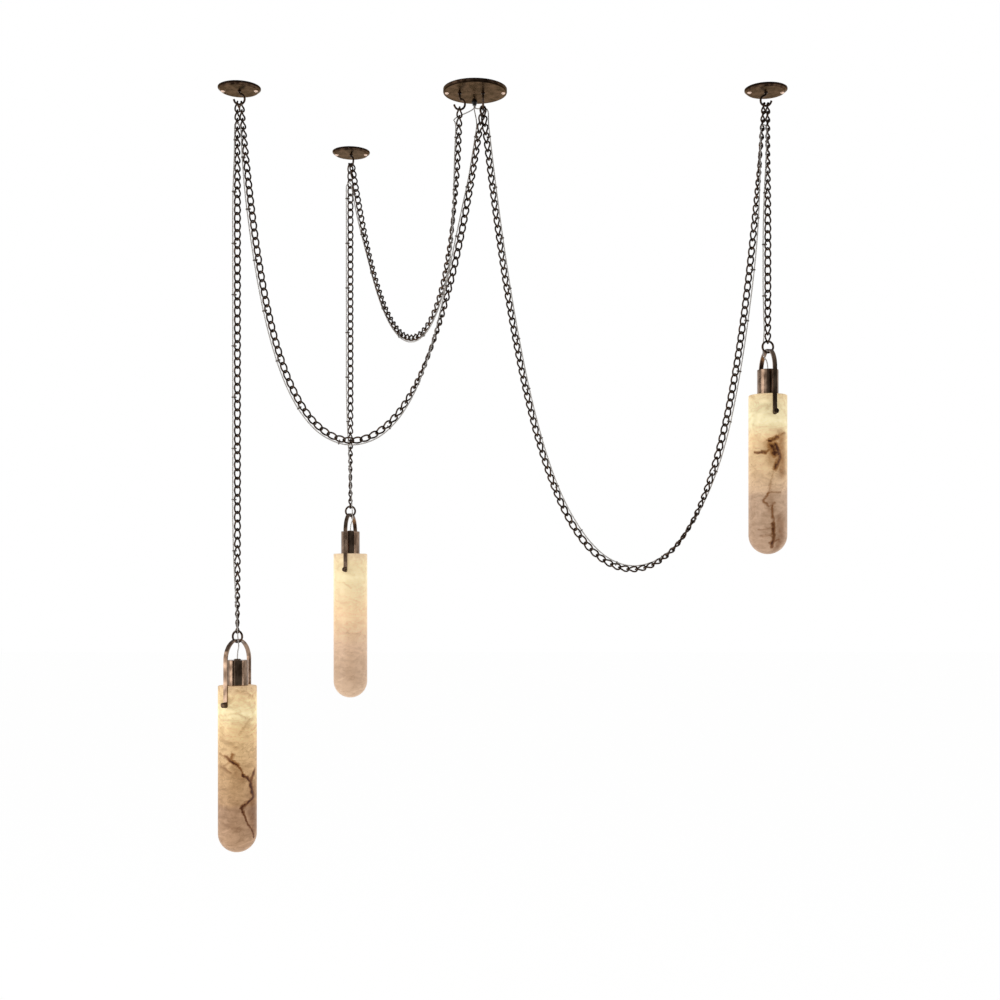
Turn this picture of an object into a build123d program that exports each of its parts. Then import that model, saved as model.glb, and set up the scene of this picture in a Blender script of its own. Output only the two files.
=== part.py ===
from build123d import *
import os
from math import atan2, cos, degrees, hypot, radians, sin, sqrt

# Swag chandelier: a canopy and three ceiling plates carry hooks, each swag chain runs from a canopy
# hook to a plate's hook and drops to an alabaster pendant, and a thin cord is tied to the chain.
# Millimetres and degrees. The origin is the canopy's centre on the ceiling, X runs right, Y back, Z up.

# Places on the ceiling
left_plate_x = -441.5
left_plate_y = -8.0
middle_plate_x = -273.0
middle_plate_y = 375.0
right_plate_x = 546.5
right_plate_y = 0.0
middle_hook_x = -29.0
shared_hook_x = 15.0

# Canopy and ceiling plates
canopy_dia = 120.0
canopy_depth = 7.0
canopy_wall = 1.6
canopy_skirt = 3.5
plate_dia = 80.0
plate_depth = 6.0
plate_floor = 1.6
plate_face = 70.0
plate_pocket = 46.0
plate_rim = 1.8
edge_round = 1.6

# Crossbars behind the plates, and the screws that hold the plates to them
bar_thickness = 2.0
canopy_bar_width = 14.0
canopy_bar_end = 5.0
plate_bar_width = 11.0
plate_bar_end = 4.0
canopy_screw_spacing = 106.0
plate_screw_spacing = 62.0
canopy_mount_spacing = 60.0
plate_mount_spacing = 30.0
mount_hole_dia = 4.5
cover_screw_dia = 4.0
cover_screw_head = 8.0
cover_screw_head_height = 2.4

# Hooks, with a collar under the plate and a nut above it
hook_wire = 4.0
hook_radius = 10.0
canopy_hook_stem = 8.0
plate_hook_stem = 2.0
hook_turn = 75.0
hook_sweep = 235.0
hook_tip = 3.0
collar_dia = 7.0
collar_height = 1.6
nut_flats = 7.0
nut_height = 2.2

# Gland and terminal block
gland_x = -2.0
gland_y = 46.0
gland_top_dia = 9.0
gland_tip_dia = 7.6
gland_length = 7.0
gland_flange_dia = 11.0
gland_flange = 1.5
gland_stem_dia = 7.4
block_length = 30.0
block_width = 12.0
block_height = 4.8
block_way = 8.0
block_way_bore = 2.6

# Chain
link_pitch = 16.0
link_wire = 3.2
link_half_width = 5.2
link_lean = 35.0
link_cross = 45.0
twist_rate = 6.5
left_swag_links = 88
middle_swag_links = 62
right_swag_links = 119
left_drop_links = 62
middle_drop_links = 46
right_drop_links = 28
left_swag_lean = 2.0
middle_swag_lean = -8.0
right_swag_lean = 1.2
plate_spread = 3.6
shared_spread = 3.9
hook_ride = 0.7
plate_roll = 65.0
canopy_roll = 50.0
ring_roll = 30.0
end_links = 4
left_outer_links = 8
middle_outer_links = 6
right_outer_links = 46
drop_settle_links = 5

# Cord and ties
cord_dia = 2.2
cord_offset = 8.8
cord_first_links = 2
cord_loop_links = 3
cord_stride_links = 3
tie_every_links = 6
tie_width = 2.0
tie_thickness = 0.9
cord_left = -180.0
left_tail_turn = -120.0
middle_tail_turn = 120.0
right_tail_turn = 0.0

# Hanging ring, stirrup and thumb screws
ring_radius = 10.5
ring_wire = 4.0
strap_width = 8.0
strap_thickness = 3.0
strap_overlap = 40.0
strap_screw_edge = 6.0
left_stirrup_turn = -114.0
middle_stirrup_turn = -100.0
right_stirrup_turn = -81.0
thumb_dia = 10.0
thumb_length = 8.0
thumb_thread = 5.0
thumb_depth = 12.0

# Lamp cup, lampholder and lamp
cup_dia = 40.0
cup_height = 48.0
cup_wall = 1.5
cup_top = 3.0
nipple_dia = 10.0
nipple_flange_dia = 15.0
nipple_flange = 2.0
nipple_grip = 9.0
holder_dia = 28.0
holder_length = 36.0
holder_bore_depth = 24.0
lamp_cap_dia = 13.8
lamp_tube_dia = 25.0
lamp_tube_length = 92.0

# Alabaster
stone_dia = 72.0
left_stone_length = 312.0
middle_stone_length = 309.0
right_stone_length = 298.0
stone_bore = 34.0
stone_bore_depth = 205.0
stone_edge = 1.2

# Clearances
link_gap = 0.25
seat_gap = 0.25
slide_gap = 0.3
hole_gap = 0.15
thread_gap = 0.05

up = Vector(0, 0, 1)
down = Vector(0, 0, -1)
sides = ["left", "middle", "right"]
plate_at = {
    "left": Vector(left_plate_x, left_plate_y, 0),
    "middle": Vector(middle_plate_x, middle_plate_y, 0),
    "right": Vector(right_plate_x, right_plate_y, 0),
}
stirrup_turn = {"left": left_stirrup_turn, "middle": middle_stirrup_turn, "right": right_stirrup_turn}
swag_links = {"left": left_swag_links, "middle": middle_swag_links, "right": right_swag_links}
swag_lean = {"left": left_swag_lean, "middle": middle_swag_lean, "right": right_swag_lean}
drop_links = {"left": left_drop_links, "middle": middle_drop_links, "right": right_drop_links}
stone_length = {"left": left_stone_length, "middle": middle_stone_length, "right": right_stone_length}
nodes = {}


def compass(angle):
    """A level direction, by its angle from X."""
    return Vector(cos(radians(angle)), sin(radians(angle)), 0)


def heading(direction):
    """A level direction's angle from X."""
    return degrees(atan2(direction.Y, direction.X))


def disc(outline, corner_radii):
    """A solid of revolution about Z, from an outline in radius and height with rounded corners."""
    curve = FilletPolyline(*outline, radius=corner_radii)
    closing = Polyline(outline[-1], (0, outline[-1][1]), outline[0])
    face = Plane.XZ * make_face(curve.edges() + closing.edges())
    return revolve(face, Axis.Z)


def drilled(solid, places, diameter, top, depth):
    """A solid with an upright round hole at each place, from a height downwards."""
    for x, y in places:
        solid -= Pos(x, y, top) * Cylinder(diameter / 2, depth, align=(Align.CENTER, Align.CENTER, Align.MAX))
    return solid


# Crossbars: flat bars let into the back of the canopy and plates, bolted to the ceiling through their
# inner holes, with the cover screws in their outer ones.
def crossbar(width, screw_spacing, mount_spacing, end):
    bar = SlotOverall(screw_spacing + 2 * end, width)
    bar -= GridLocations(screw_spacing, 0, 2, 1) * Circle(cover_screw_dia / 2 + thread_gap)
    bar -= GridLocations(mount_spacing, 0, 2, 1) * Circle(mount_hole_dia / 2)
    return extrude(bar, amount=-bar_thickness)


def crossbar_slot(width, screw_spacing, end):
    """The slot that a crossbar lies in."""
    slot = SlotOverall(screw_spacing + 2 * end + 2 * slide_gap, width + 2 * slide_gap)
    return extrude(slot, amount=-bar_thickness)


# Canopy: a shallow pan, hollow inside for the nuts and the terminal block.
shared_hook = Vector(shared_hook_x, 0, 0)
middle_hook = Vector(middle_hook_x, 0, 0)
canopy_outline = [
    (0, -canopy_depth),
    (canopy_dia / 2, -canopy_depth),
    (canopy_dia / 2, 0),
]
canopy = disc(canopy_outline, [edge_round])
pan = canopy_dia / 2 - canopy_skirt
canopy_inside = [(0, canopy_wall - canopy_depth), (pan, canopy_wall - canopy_depth), (pan, 0)]
canopy -= disc(canopy_inside, [edge_round])
canopy -= crossbar_slot(canopy_bar_width, canopy_screw_spacing, canopy_bar_end)
canopy_screw_places = [(-canopy_screw_spacing / 2, 0), (canopy_screw_spacing / 2, 0)]
hook_hole = hook_wire + 2 * hole_gap
gland_hole = gland_stem_dia + 2 * hole_gap
canopy = drilled(canopy, canopy_screw_places, cover_screw_dia + 2 * hole_gap, 0, canopy_depth)
canopy = drilled(canopy, [(middle_hook_x, 0), (shared_hook_x, 0)], hook_hole, 0, canopy_depth)
canopy = drilled(canopy, [(gland_x, gland_y)], gland_hole, 0, canopy_depth)
nodes["canopy_plate"] = [canopy]
nodes["canopy_crossbar"] = [
    crossbar(canopy_bar_width, canopy_screw_spacing, canopy_mount_spacing, canopy_bar_end)
]

# Ceiling plates: shallow dished discs with a pocket behind for the nut and the crossbar's bolt heads.
toward = {side: (shared_hook - plate_at[side]).normalized() for side in sides}
toward["middle"] = (middle_hook - plate_at["middle"]).normalized()
plate_outline = [
    (0, -plate_depth),
    (plate_face / 2, -plate_depth),
    (plate_dia / 2, -plate_rim),
    (plate_dia / 2, 0),
]
plate = disc(plate_outline, [edge_round, edge_round / 2])
plate -= extrude(Circle(plate_pocket / 2), amount=plate_floor - plate_depth)
plate -= crossbar_slot(plate_bar_width, plate_screw_spacing, plate_bar_end)
plate_screw_places = [(-plate_screw_spacing / 2, 0), (plate_screw_spacing / 2, 0)]
plate = drilled(plate, plate_screw_places, cover_screw_dia + 2 * hole_gap, 0, plate_depth)
plate = drilled(plate, [(0, 0)], hook_hole, 0, plate_depth)
plate_bar = crossbar(plate_bar_width, plate_screw_spacing, plate_mount_spacing, plate_bar_end)
for side in sides:
    nodes[side + "_ceiling_plate"] = [Pos(plate_at[side]) * plate]
nodes["plate_crossbars"] = [Pos(plate_at[side]) * plate_bar for side in sides]

# Cover screws: domed heads under the flange, threaded into the crossbar's ends.
def cover_screw(seat):
    dome_radius = (cover_screw_head**2 / 4 + cover_screw_head_height**2) / (2 * cover_screw_head_height)
    head = Sphere(dome_radius).moved(Pos(0, 0, dome_radius - cover_screw_head_height - seat))
    head &= Pos(0, 0, -seat) * Cylinder(
        cover_screw_head, 2 * cover_screw_head_height, align=(Align.CENTER, Align.CENTER, Align.MAX)
    )
    shank = Cylinder(cover_screw_dia / 2, seat, align=(Align.CENTER, Align.CENTER, Align.MAX))
    return head + shank


nodes["cover_screws"] = [Pos(x, y, 0) * cover_screw(canopy_depth) for x, y in canopy_screw_places]
for side in sides:
    for x, y in plate_screw_places:
        nodes["cover_screws"].append(Pos(plate_at[side]) * Pos(x, y, 0) * cover_screw(plate_depth))


# Hooks: a threaded stem through the plate, bent out and round into an open loop. In its own frame the
# plate's face is at height 0 and the loop's shank stands on the X side.
hook_bend = hook_radius * cos(radians(hook_turn)) / (1 - cos(radians(hook_turn)))
hook_drop = (hook_bend + hook_radius) * sin(radians(hook_turn))


def hook(stem_top, stem_length):
    stem = Line((0, stem_top), (0, -stem_length))
    bend = JernArc(stem @ 1, stem % 1, hook_bend, hook_turn)
    loop = JernArc(bend @ 1, bend % 1, hook_radius, -hook_sweep)
    tip = Line(loop @ 1, loop @ 1 + (loop % 1) * hook_tip)
    path = Plane.XZ * Wire(stem.edges() + bend.edges() + loop.edges() + tip.edges())
    wire = sweep(Plane(origin=(0, 0, stem_top), z_dir=(0, 0, -1)) * Circle(hook_wire / 2), path=path)
    return wire + Cylinder(collar_dia / 2, collar_height, align=(Align.CENTER, Align.CENTER, Align.MAX))


def hook_nut():
    nut = extrude(RegularPolygon(nut_flats / 2, 6, major_radius=False), amount=nut_height)
    return nut - Cylinder(hook_wire / 2 + thread_gap, 4 * nut_height)


def on_hook(place, shank_side, stem_end, offset):
    """The hook wire's centre, at a distance from the loop's lowest point along its shank side."""
    lowest = stem_end - hook_drop - sqrt(hook_radius**2 - offset**2)
    return place + shank_side * offset + up * lowest


canopy_shank_side = {"middle": Vector(1, 0, 0), "shared": Vector(0, 1, 0)}
canopy_stem = canopy_wall + nut_height
plate_stem = plate_floor + nut_height
canopy_stem_end = -canopy_depth - canopy_hook_stem
plate_stem_end = -plate_depth - plate_hook_stem
nodes["ceiling_hooks"] = []
nodes["hook_nuts"] = []
for name, place in [("middle", middle_hook), ("shared", shared_hook)]:
    seat = Pos(place) * Pos(0, 0, -canopy_depth) * Rot(0, 0, heading(canopy_shank_side[name]))
    nodes["ceiling_hooks"].append(seat * hook(canopy_stem, canopy_hook_stem))
    nodes["hook_nuts"].append(seat * Pos(0, 0, canopy_wall) * hook_nut())
for side in sides:
    seat = Pos(plate_at[side]) * Pos(0, 0, -plate_depth) * Rot(0, 0, heading(toward[side]))
    nodes["ceiling_hooks"].append(seat * hook(plate_stem, plate_hook_stem))
    nodes["hook_nuts"].append(seat * Pos(0, 0, plate_floor) * hook_nut())

# Gland: a tapered sleeve snapped into the canopy's back, which the three cords leave together.
bundle_radius = cord_dia / sqrt(3) + hole_gap
gland_bore = 2 * bundle_radius + cord_dia + 2 * hole_gap
gland_tip_z = -canopy_depth - gland_length
gland_top_z = 2 * canopy_wall - canopy_depth
gland = Pos(0, 0, -canopy_depth - gland_flange) * Cone(
    gland_tip_dia / 2,
    gland_top_dia / 2,
    gland_length - gland_flange,
    align=(Align.CENTER, Align.CENTER, Align.MAX),
)
gland += Pos(0, 0, -canopy_depth) * Cylinder(
    gland_flange_dia / 2, gland_flange, align=(Align.CENTER, Align.CENTER, Align.MAX)
)
gland += Pos(0, 0, gland_top_z) * Cylinder(
    gland_stem_dia / 2, gland_top_z + canopy_depth, align=(Align.CENTER, Align.CENTER, Align.MAX)
)
gland -= Cylinder(gland_bore / 2, 4 * gland_length)
nodes["cord_gland"] = [Pos(gland_x, gland_y, 0) * gland]

# Terminal block: a three-way connector on the canopy's floor, where the cords meet the supply.
block_z = canopy_wall - canopy_depth + block_height / 2
block_y = canopy_bar_width / 2 + slide_gap + block_width / 2
block = Box(block_length, block_width, block_height)
for way in (-1, 0, 1):
    block -= Pos(way * block_way, 0, 0) * Rot(90, 0, 0) * Cylinder(block_way_bore / 2, 2 * block_width)
nodes["terminal_block"] = [Pos(0, block_y, block_z) * block]


# Paths of tangent arcs, for the chain's links and the cords.
def biarc_joint(start, start_way, end, end_way):
    """Where two tangent arcs from start to end meet, and the direction that they share there."""
    reach = end - start
    spread = 2 * (1 - start_way.dot(end_way))
    along = 2 * reach.dot(start_way + end_way)
    handle = 2 * reach.dot(reach) / (along + sqrt(along**2 + 4 * spread * reach.dot(reach)))
    joint = (start + end + (start_way - end_way) * handle) * 0.5
    return joint, (reach - (start_way + end_way) * handle).normalized()


def tangent_edge(start, way, end):
    """An arc that leaves start along a direction, or a line where end lies straight ahead."""
    straight_within = 1e-4
    if (end - start).normalized().cross(way).length < straight_within:
        return Edge.make_line(start, end)
    return Edge.make_tangent_arc(start, way, end)


def arc_path(points, ways):
    edges = []
    for start, start_way, end, end_way in zip(points, ways, points[1:], ways[1:]):
        joint, joint_way = biarc_joint(start, start_way, end, end_way)
        edges.append(tangent_edge(start, start_way, joint))
        edges.append(tangent_edge(joint, joint_way, end))
    return edges


def cord(points, ways):
    """A cord's tube along tangent arcs."""
    path = Wire(arc_path(points, ways))
    return sweep(Plane(origin=points[0], z_dir=ways[0]) * Circle(cord_dia / 2), path=path)


# Chain link: a round wire bent into an oval and twisted, so that like links lie flat in each other.
# One quarter is two tangent arcs, and the other quarters are that one turned about each axis.
link_reach = link_pitch / 2 + (link_wire + link_gap) / 2
link_side = Vector(link_half_width, 0, 0)
link_side_way = Vector(0, sin(radians(link_lean)), cos(radians(link_lean)))
link_end = Vector(0, 0, link_reach)
link_end_way = Vector(-cos(radians(link_cross)), -sin(radians(link_cross)), 0)
quarter = arc_path([link_side, link_end], [link_side_way, link_end_way])
link_edges = list(quarter)
for turn_axis in (Axis.Z, Axis.Y, Axis.X):
    link_edges += [edge.rotate(turn_axis, 180) for edge in quarter]
link_tube = sweep(Plane(origin=link_side, z_dir=link_side_way) * Circle(link_wire / 2), path=Wire(link_edges))
link = Solid(Shell(link_tube.faces().filter_by(GeomType.TORUS)))
link_outer = link_half_width + link_wire / 2


# Tie: a band round one side of a link and the cord beside it.
def cord_tie():
    side_room = link_wire / 2 / cos(radians(link_lean)) + tie_width / 2 * sin(radians(link_lean)) + slide_gap
    cord_room = cord_dia / 2 + slide_gap
    side_at = Pos(link_half_width, 0)
    cord_at = Pos(cord_offset, 0)
    inside = make_hull((side_at * Circle(side_room)).edges() + (cord_at * Circle(cord_room)).edges())
    side_band = side_at * Circle(side_room + tie_thickness)
    cord_band = cord_at * Circle(cord_room + tie_thickness)
    outside = make_hull(side_band.edges() + cord_band.edges())
    return extrude(outside - inside, amount=tie_width / 2, both=True)


tie = cord_tie()


def hanging_points(span, rise, count):
    """Pivots of a hanging chain of equal links, by the slope that each link's share of weight gives."""

    def sums(stiffness, lowest):
        x = 0
        z = 0
        for index in range(count):
            slope = (index - lowest) / stiffness
            x += link_pitch / hypot(1, slope)
            z += link_pitch * slope / hypot(1, slope)
        return x, z

    def lowest_for(stiffness):
        low = 0
        high = count
        for _ in range(50):
            middle = (low + high) / 2
            if sums(stiffness, middle)[1] > rise:
                low = middle
            else:
                high = middle
        return low

    tight = 0.01
    slack = float(count)
    for _ in range(50):
        stiffness = (tight + slack) / 2
        if sums(stiffness, lowest_for(stiffness))[0] < span:
            tight = stiffness
        else:
            slack = stiffness
    lowest = lowest_for(stiffness)
    points = [(0, 0)]
    for index in range(count):
        slope = (index - lowest) / stiffness
        x, z = points[-1]
        points.append((x + link_pitch / hypot(1, slope), z + link_pitch * slope / hypot(1, slope)))
    return points


def swag_pivots(start, end, count, lean):
    """A swag's pivots from its canopy end to its plate end, where it leans towards the plate."""
    reach = end - start
    level = Vector(reach.X, reach.Y, 0).normalized()
    lean_cos = cos(radians(lean))
    lean_sin = sin(radians(lean))
    span = reach.dot(level)
    rise = reach.Z
    leaned = hanging_points(span * lean_cos + rise * lean_sin, rise * lean_cos - span * lean_sin, count)
    forward = level * lean_cos + up * lean_sin
    upward = up * lean_cos - level * lean_sin
    return [start + forward * x + upward * z for x, z in leaned]


def turned(index, start, turns):
    """A link's turn about the chain, after turns that start at given links."""
    angle = start
    for first, turn in turns:
        share = (index - first) * twist_rate / abs(turn)
        angle += turn * min(max(share, 0), 1)
    return angle


def swag_frames(pivots, start_turn, turns):
    """Each link's frame: Z along the chain, X towards the cord, at 0 on the swag's outer side."""
    level = pivots[-1] - pivots[0]
    level = Vector(level.X, level.Y, 0).normalized()
    normal = up.cross(level)
    frames = []
    for index, (start, end) in enumerate(zip(pivots, pivots[1:])):
        way = (end - start).normalized()
        turn = radians(turned(index, start_turn, turns))
        side = normal.cross(way) * cos(turn) + normal * sin(turn)
        frames.append(Plane(origin=(start + end) * 0.5, x_dir=side, z_dir=way))
    return frames


def drop_frames(top, count, start_turn, turns):
    """Each hanging link's frame: Z down, X towards the cord."""
    frames = []
    for index in range(count):
        centre = top + down * (index + 0.5) * link_pitch
        frames.append(Plane(origin=centre, x_dir=compass(turned(index, start_turn, turns)), z_dir=down))
    return frames


def cord_route(frames, first, last):
    """Points and directions of a cord beside the links from first to last."""
    beside = [frame.origin + frame.x_dir * cord_offset for frame in frames]
    picks = list(range(first, last, cord_stride_links)) + [last]
    points = [beside[index] for index in picks]
    ways = [(beside[index + 1] - beside[index - 1]).normalized() for index in picks]
    return points, ways


def ties_along(frames, first, last):
    return [frame.location * tie for frame in frames[first : last + 1 : tie_every_links]]


# Swags: the left and right chains share a canopy hook, front and back, and the middle one has its own.
# Near its plate each chain turns edge on, beside the pendant's own chain.
hook_lift = up * ((hook_wire + link_gap) / 2 + hook_ride)
swag_start = {
    "left": on_hook(shared_hook, canopy_shank_side["shared"], canopy_stem_end, -shared_spread),
    "middle": on_hook(middle_hook, canopy_shank_side["middle"], canopy_stem_end, 0),
    "right": on_hook(shared_hook, canopy_shank_side["shared"], canopy_stem_end, shared_spread),
}
swag_end = {side: on_hook(plate_at[side], toward[side], plate_stem_end, plate_spread) for side in sides}
hook_of = {"left": "shared", "middle": "middle", "right": "shared"}
cord_face = {"left": 1, "middle": -1, "right": -1}
swag_start_turn = {}
for side in sides:
    flat = compass(heading(canopy_shank_side[hook_of[side]]) + canopy_roll) * cord_face[side]
    normal = toward[side].cross(up)
    swag_start_turn[side] = degrees(atan2(flat.dot(normal), flat.dot(toward[side]))) % 360
swag_end_turn = {"left": plate_roll, "middle": plate_roll, "right": plate_roll - 180}
outer_from = {"left": left_outer_links, "middle": middle_outer_links, "right": right_outer_links}
swag_frame = {}
swag_cord_route = {}
for side in sides:
    ends = [swag_start[side] + hook_lift, swag_end[side] + hook_lift]
    pivots = swag_pivots(*ends, swag_links[side], swag_lean[side])
    end_from = swag_links[side] - end_links - abs(swag_end_turn[side]) / twist_rate
    turns = [(outer_from[side], -swag_start_turn[side]), (end_from, swag_end_turn[side])]
    frames = swag_frames(pivots, swag_start_turn[side], turns)
    swag_frame[side] = frames
    last = len(frames) - 1 - cord_loop_links
    swag_cord_route[side] = cord_route(frames, cord_first_links, last)
    nodes[side + "_swag_chain"] = [link.moved(frame.location) for frame in frames]
    nodes[side + "_swag_cord"] = [cord(*swag_cord_route[side])]
    nodes[side + "_swag_ties"] = ties_along(frames, cord_first_links + 1, last - 1)

# Cord tails: three cords hang out of the gland and run to the swags. The middle and right ones go round
# the outer side of their hooks.
tail_turn = {"left": left_tail_turn, "middle": middle_tail_turn, "right": right_tail_turn}
hook_room = hook_radius + hook_wire
loop_z = canopy_stem_end - hook_drop
tail_bend = {
    "left": [],
    "middle": [middle_hook + Vector(-hook_room, hook_wire, loop_z - hook_radius - link_pitch)],
    "right": [shared_hook + Vector(hook_radius, hook_room, loop_z)],
}
nodes["canopy_cord_tails"] = []
for side in sides:
    exit_at = Vector(gland_x, gland_y, 0) + compass(tail_turn[side]) * bundle_radius
    swag_points, swag_ways = swag_cord_route[side]
    points = [exit_at + up * gland_top_z, exit_at + up * gland_tip_z] + tail_bend[side] + [swag_points[0]]
    ways = [down, down]
    for bend in tail_bend[side]:
        ways.append((swag_points[0] - bend).normalized())
    ways.append(swag_ways[0])
    nodes["canopy_cord_tails"].append(cord(points, ways))

# Drops: a hook link beside each swag's end, then the chain down to the pendant's ring. The cord comes
# over from the swag in a small loop.
drop_top = {side: on_hook(plate_at[side], toward[side], plate_stem_end, -plate_spread) for side in sides}
cord_arm = {"left": 1, "middle": 1, "right": -1}
drop_end_turn = {
    "left": left_stirrup_turn + ring_roll,
    "middle": middle_stirrup_turn + ring_roll,
    "right": right_stirrup_turn + ring_roll - 180,
}
drop_frame = {}
for side in sides:
    start_turn = heading(swag_frame[side][-1].x_dir)
    settle = cord_left - start_turn
    finish = drop_end_turn[side] - cord_left
    finish_from = drop_links[side] - end_links / 2 - abs(finish) / twist_rate
    turns = [(drop_settle_links, settle), (finish_from, finish)]
    frames = drop_frames(drop_top[side] + hook_lift, drop_links[side], start_turn, turns)
    drop_frame[side] = frames
    points, ways = cord_route(frames, cord_loop_links, len(frames) - 2)
    ways[-1] = down
    swag_points, swag_ways = swag_cord_route[side]
    nodes[side + "_hook_link"] = [link.moved(frames[0].location)]
    nodes[side + "_drop_chain"] = [link.moved(frame.location) for frame in frames[1:]]
    nodes[side + "_drop_cord"] = [cord([swag_points[-1]] + points, [swag_ways[-1]] + ways)]
    nodes[side + "_drop_ties"] = ties_along(frames, cord_loop_links + 1, len(frames) - 3)


# Pendant, in its own frame: the ring's centre is the origin, and the stirrup's arms stand along X.
ring_inside = ring_radius - ring_wire / 2
stone_radius = stone_dia / 2
arch_inside = stone_radius + slide_gap
arch_outside = arch_inside + strap_thickness
strap_seat = seat_gap - sqrt(ring_inside**2 - strap_width**2 / 4)
arch_z = strap_seat - arch_inside
stone_top = arch_z - cup_height
strap_end = stone_top - strap_overlap
thumb_z = strap_end + strap_screw_edge

ring = Rot(0, 90, 0) * Torus(ring_radius, ring_wire / 2)


# Stirrup: a flat strap bent over into a U that stands outside the stone.
def stirrup():
    edges = []
    for radius in (arch_inside, arch_outside):
        edges.append(Line((-radius, strap_end), (-radius, arch_z)).edge())
        edges.append(ThreePointArc((-radius, arch_z), (0, arch_z + radius), (radius, arch_z)).edge())
        edges.append(Line((radius, arch_z), (radius, strap_end)).edge())
    for end in (-1, 1):
        edges.append(Line((end * arch_inside, strap_end), (end * arch_outside, strap_end)).edge())
    strap = extrude(Plane.XZ * make_face(edges), amount=strap_width / 2, both=True)
    end_edges = strap.edges().filter_by(Axis.X).group_by(Axis.Z)[0]
    strap = fillet(end_edges, 0.49 * strap_width)
    hole = Cylinder(thumb_thread / 2 + hole_gap, 4 * arch_outside)
    return strap - Pos(0, 0, thumb_z) * Rot(0, 90, 0) * hole


# Thumb screw: a knob against the strap, with a thread into the stone.
def thumb_screw():
    thread_length = thumb_depth + slide_gap + strap_thickness
    knob = Pos(0, 0, arch_outside) * Cylinder(
        thumb_dia / 2, thumb_length, align=(Align.CENTER, Align.CENTER, Align.MIN)
    )
    knob = chamfer(knob.edges().filter_by(GeomType.CIRCLE), thumb_length / 10)
    thread = Pos(0, 0, arch_outside) * Cylinder(
        thumb_thread / 2, thread_length, align=(Align.CENTER, Align.CENTER, Align.MAX)
    )
    return Pos(0, 0, thumb_z) * Rot(0, 90, 0) * (knob + thread)


# Alabaster: one turned piece with a round foot, bored from the top for the lamp.
def stone(length):
    foot_z = stone_top - length + stone_radius
    body = Pos(0, 0, stone_top) * Cylinder(
        stone_radius, length - stone_radius, align=(Align.CENTER, Align.CENTER, Align.MAX)
    )
    body = chamfer(body.edges().group_by(Axis.Z)[-1], stone_edge)
    body += Pos(0, 0, foot_z) * Sphere(stone_radius)
    bore = Pos(0, 0, stone_top) * Cylinder(
        stone_bore / 2, stone_bore_depth, align=(Align.CENTER, Align.CENTER, Align.MAX)
    )
    for end in (0, 180):
        screw_hole = Pos(0, 0, stone_radius + slide_gap) * Cylinder(
            thumb_thread / 2 + hole_gap,
            thumb_depth + 2 * slide_gap,
            align=(Align.CENTER, Align.CENTER, Align.MAX),
        )
        bore += Rot(0, 0, end) * Pos(0, 0, thumb_z) * Rot(0, 90, 0) * screw_hole
    return body - bore


# Lamp cup: a drawn cap that stands on the stone, with the lampholder on a hollow nipple inside.
cup_z = arch_z
cup = Pos(0, 0, cup_z) * Cylinder(cup_dia / 2, cup_height, align=(Align.CENTER, Align.CENTER, Align.MAX))
cup = fillet(cup.edges().group_by(Axis.Z)[-1], edge_round / 2)
cup -= Pos(0, 0, cup_z - cup_top) * Cylinder(
    cup_dia / 2 - cup_wall, cup_height, align=(Align.CENTER, Align.CENTER, Align.MAX)
)
cup = drilled(cup, [(0, 0)], nipple_dia + 2 * hole_gap, cup_z, cup_height / 2)

nipple = Pos(0, 0, cup_z) * Cone(
    nipple_flange_dia / 2, nipple_dia / 2, nipple_flange, align=(Align.CENTER, Align.CENTER, Align.MIN)
)
nipple += Pos(0, 0, cup_z) * Cylinder(
    nipple_dia / 2, cup_top + nipple_grip, align=(Align.CENTER, Align.CENTER, Align.MAX)
)
nipple_bore = cord_dia + 2 * hole_gap
nipple = drilled(nipple, [(0, 0)], nipple_bore, cup_z + nipple_flange, 2 * cup_height)

holder_z = cup_z - cup_top
lamp_bore = lamp_cap_dia + 2 * hole_gap
holder = Pos(0, 0, holder_z) * Cylinder(
    holder_dia / 2, holder_length, align=(Align.CENTER, Align.CENTER, Align.MAX)
)
holder = fillet(holder.edges().group_by(Axis.Z)[-1], edge_round)
holder = drilled(holder, [(0, 0)], nipple_dia + 2 * thread_gap, holder_z, nipple_grip + thread_gap)
holder = drilled(holder, [(0, 0)], lamp_bore, holder_z + holder_bore_depth - holder_length, holder_bore_depth)

lamp_seat = holder_z - holder_length
lamp_tube = Pos(0, 0, lamp_seat) * Cylinder(
    lamp_tube_dia / 2, lamp_tube_length - lamp_tube_dia / 2, align=(Align.CENTER, Align.CENTER, Align.MAX)
)
lamp = lamp_tube + Pos(0, 0, lamp_seat + lamp_tube_dia / 2 - lamp_tube_length) * Sphere(lamp_tube_dia / 2)
lamp += Pos(0, 0, lamp_seat) * Cylinder(
    lamp_cap_dia / 2, holder_bore_depth - slide_gap, align=(Align.CENTER, Align.CENTER, Align.MIN)
)

# Pendant cord: from the chain's last tie past the ring and the strap's edge into the nipple.
strap_pass = strap_width / 2 + cord_dia + 2 * slide_gap


def pendant_cord(start, arm):
    entry = nipple_flange_dia
    points = [
        start,
        Vector(arm * cord_offset, arm * strap_pass, strap_seat + strap_thickness),
        Vector(arm * cord_offset / 2, arm * strap_pass, arch_z + arch_inside / 2 + entry / 2),
        Vector(0, 0, arch_z + entry),
        Vector(0, 0, arch_z - cup_top),
    ]
    ways = [down]
    for before, after in zip(points, points[2:]):
        ways.append((after - before).normalized())
    ways[-1] = down
    ways.append(down)
    return cord(points, ways)


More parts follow.
